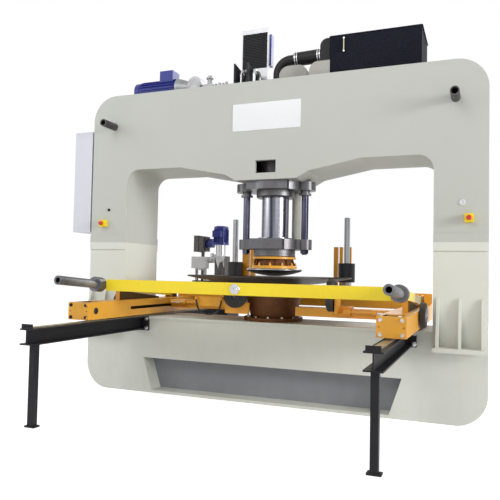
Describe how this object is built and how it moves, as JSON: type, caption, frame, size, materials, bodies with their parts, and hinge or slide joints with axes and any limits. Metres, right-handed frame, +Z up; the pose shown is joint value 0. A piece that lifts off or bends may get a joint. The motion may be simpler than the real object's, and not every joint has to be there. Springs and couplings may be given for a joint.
{
  "type": "hydraulic press",
  "caption": "Portal-frame hydraulic press for dished ends: guided forming head over a round lower die, rail-borne plate manipulator with lifting fork, tank and motor on top.",
  "frame": {"origin": "on the floor under the ram axis, at the sole of the bed", "axes": "+X to the right seen from the front, along the frame's width; +Y to the back; +Z up"},
  "size_m": [3.989, 3.526, 3.536],
  "materials": {
    "frame_paint": "satin",
    "machined_steel": "satin",
    "bright_steel": "polished",
    "dark_steel": "satin",
    "orange_paint": "satin",
    "yellow_paint": "gloss",
    "black_paint": "satin",
    "worn_bar": "worn",
    "red_brown_paint": "satin",
    "blue_paint": "gloss",
    "cabinet_paint": "satin",
    "plate_white": "gloss",
    "black_rubber": "matt",
    "stop_plastic": "matt",
    "red_plastic": "gloss",
    "tank_paint": "satin",
    "cooler_alloy": "satin",
    "grey_plastic": "matt",
    "beige_cast": "painted"
  },
  "bodies": {
    "frame": {"upper_yoke": "frame_paint", "lower_bed": "frame_paint", "bed_plate": "frame_paint", "shelf_brackets": "frame_paint", "lifting_tubes": "dark_steel", "blank_plate": "plate_white", "cabinet_body": "cabinet_paint", "stop_boxes": "stop_plastic", "head_flange": "machined_steel", "gland_ring": "machined_steel", "cylinder_barrel": "dark_steel", "die_drum": "red_brown_paint", "anvil_ring": "machined_steel", "rail_left": "black_paint", "rail_right": "black_paint", "running_bars": "worn_bar", "tank": "tank_paint", "cooler_frame": "cooler_alloy", "cooler_cowl": "blue_paint", "top_motor": "blue_paint", "pump_set": "machined_steel", "bracket_plates": "black_paint", "suction_hose": "black_rubber", "filter_pots": "beige_cast", "unit_tank": "black_paint", "unit_motor": "blue_paint", "unit_valves": "dark_steel", "unit_box": "grey_plastic", "unit_cables": "black_rubber"},
    "door": {"cabinet_door": "cabinet_paint"},
    "ram": {"ram_rod": "bright_steel", "guide_rods": "bright_steel", "platen": "machined_steel", "adapter_block": "machined_steel", "holder_flanges": "orange_paint", "ribbed_spacer": "red_brown_paint", "forming_die": "machined_steel"},
    "carriage": {"side_beam_left": "orange_paint", "side_beam_right": "orange_paint", "cross_arms": "orange_paint", "rear_beam": "orange_paint", "spindles": "machined_steel", "round_plate": "dark_steel", "cylinder_pipes": "machined_steel"},
    "fork": {"fork_frame": "yellow_paint", "handle_tubes": "machined_steel"},
    "front_wheels": {"rail_wheels_front": "machined_steel"},
    "rear_wheels": {"rail_wheels_rear": "machined_steel"},
    "side_wheel_l": {"side_wheel_left": "black_rubber"},
    "side_wheel_r": {"side_wheel_right": "black_rubber"},
    "drive_unit_l": {"saddle_left": "orange_paint", "unit_hose_loop": "black_rubber"},
    "drive_unit_r": {"saddle_right": "orange_paint"},
    "drive_wheel_l": {"drive_wheel_left": "black_rubber"},
    "drive_wheel_r": {"drive_wheel_right": "black_rubber"},
    "edge_roller_l": {"edge_roller_left": "dark_steel"},
    "edge_roller_r": {"edge_roller_right": "dark_steel"},
    "fan": {"cooler_fan": "black_paint"},
    "stop_l": {"stop_button_left": "red_plastic"},
    "stop_r": {"stop_button_right": "red_plastic"}
  },
  "joints": [
    {"name": "ram_slide", "type": "slide", "parent": "frame", "child": "ram", "axis": [0, 0, 1], "range_m": [-0.06, 0.37]},
    {"name": "carriage_slide", "type": "slide", "parent": "frame", "child": "carriage", "axis": [0, 1, 0], "range_m": [-0.35, 0.05]},
    {"name": "fork_lift", "type": "hinge", "parent": "carriage", "child": "fork", "pos_m": [0, 0.33, 0.94352], "axis": [-1, 0, 0], "range_deg": [0, 12]},
    {"name": "front_wheels_roll", "type": "hinge", "parent": "carriage", "child": "front_wheels", "pos_m": [0, -0.93, 0.781], "axis": [1, 0, 0], "continuous": true},
    {"name": "rear_wheels_roll", "type": "hinge", "parent": "carriage", "child": "rear_wheels", "pos_m": [0, 0.56, 0.781], "axis": [1, 0, 0], "continuous": true},
    {"name": "side_wheel_l_turn", "type": "hinge", "parent": "carriage", "child": "side_wheel_l", "pos_m": [-1.4, -0.44, 0.862], "axis": [1, 0, 0], "continuous": true},
    {"name": "side_wheel_r_turn", "type": "hinge", "parent": "carriage", "child": "side_wheel_r", "pos_m": [1.4, -0.44, 0.862], "axis": [1, 0, 0], "continuous": true},
    {"name": "drive_unit_l_slide", "type": "slide", "parent": "carriage", "child": "drive_unit_l", "axis": [-1, 0, 0], "range_m": [0, 0.15]},
    {"name": "drive_unit_r_slide", "type": "slide", "parent": "carriage", "child": "drive_unit_r", "axis": [1, 0, 0], "range_m": [0, 0.15]},
    {"name": "drive_wheel_l_spin", "type": "hinge", "parent": "drive_unit_l", "child": "drive_wheel_l", "pos_m": [-0.253, -0.33, 0.95565], "axis": [0, 1, 0], "continuous": true},
    {"name": "drive_wheel_r_spin", "type": "hinge", "parent": "drive_unit_r", "child": "drive_wheel_r", "pos_m": [0.646, -0.366, 0.99], "axis": [1, 0, 0], "continuous": true},
    {"name": "edge_roller_l_spin", "type": "hinge", "parent": "carriage", "child": "edge_roller_l", "pos_m": [-0.66, 0.5954, 1.187], "axis": [0, 0, 1], "continuous": true},
    {"name": "edge_roller_r_spin", "type": "hinge", "parent": "carriage", "child": "edge_roller_r", "pos_m": [0.56, 0.5954, 1.187], "axis": [0, 0, 1], "continuous": true},
    {"name": "door_hinge", "type": "hinge", "parent": "frame", "child": "door", "pos_m": [-2.107, 0.268, 2.065], "axis": [0, 0, -1], "range_deg": [0, 110]},
    {"name": "fan_spin", "type": "hinge", "parent": "frame", "child": "fan", "pos_m": [-0.228, 0.08, 3.34], "axis": [0, 1, 0], "continuous": true},
    {"name": "stop_l_press", "type": "slide", "parent": "frame", "child": "stop_l", "axis": [0, 1, 0], "range_m": [0, 0.005], "stiffness_N_per_m": 1200, "springref_m": -0.001},
    {"name": "stop_r_press", "type": "slide", "parent": "frame", "child": "stop_r", "axis": [0, 1, 0], "range_m": [0, 0.005], "stiffness_N_per_m": 1200, "springref_m": -0.001}
  ]
}
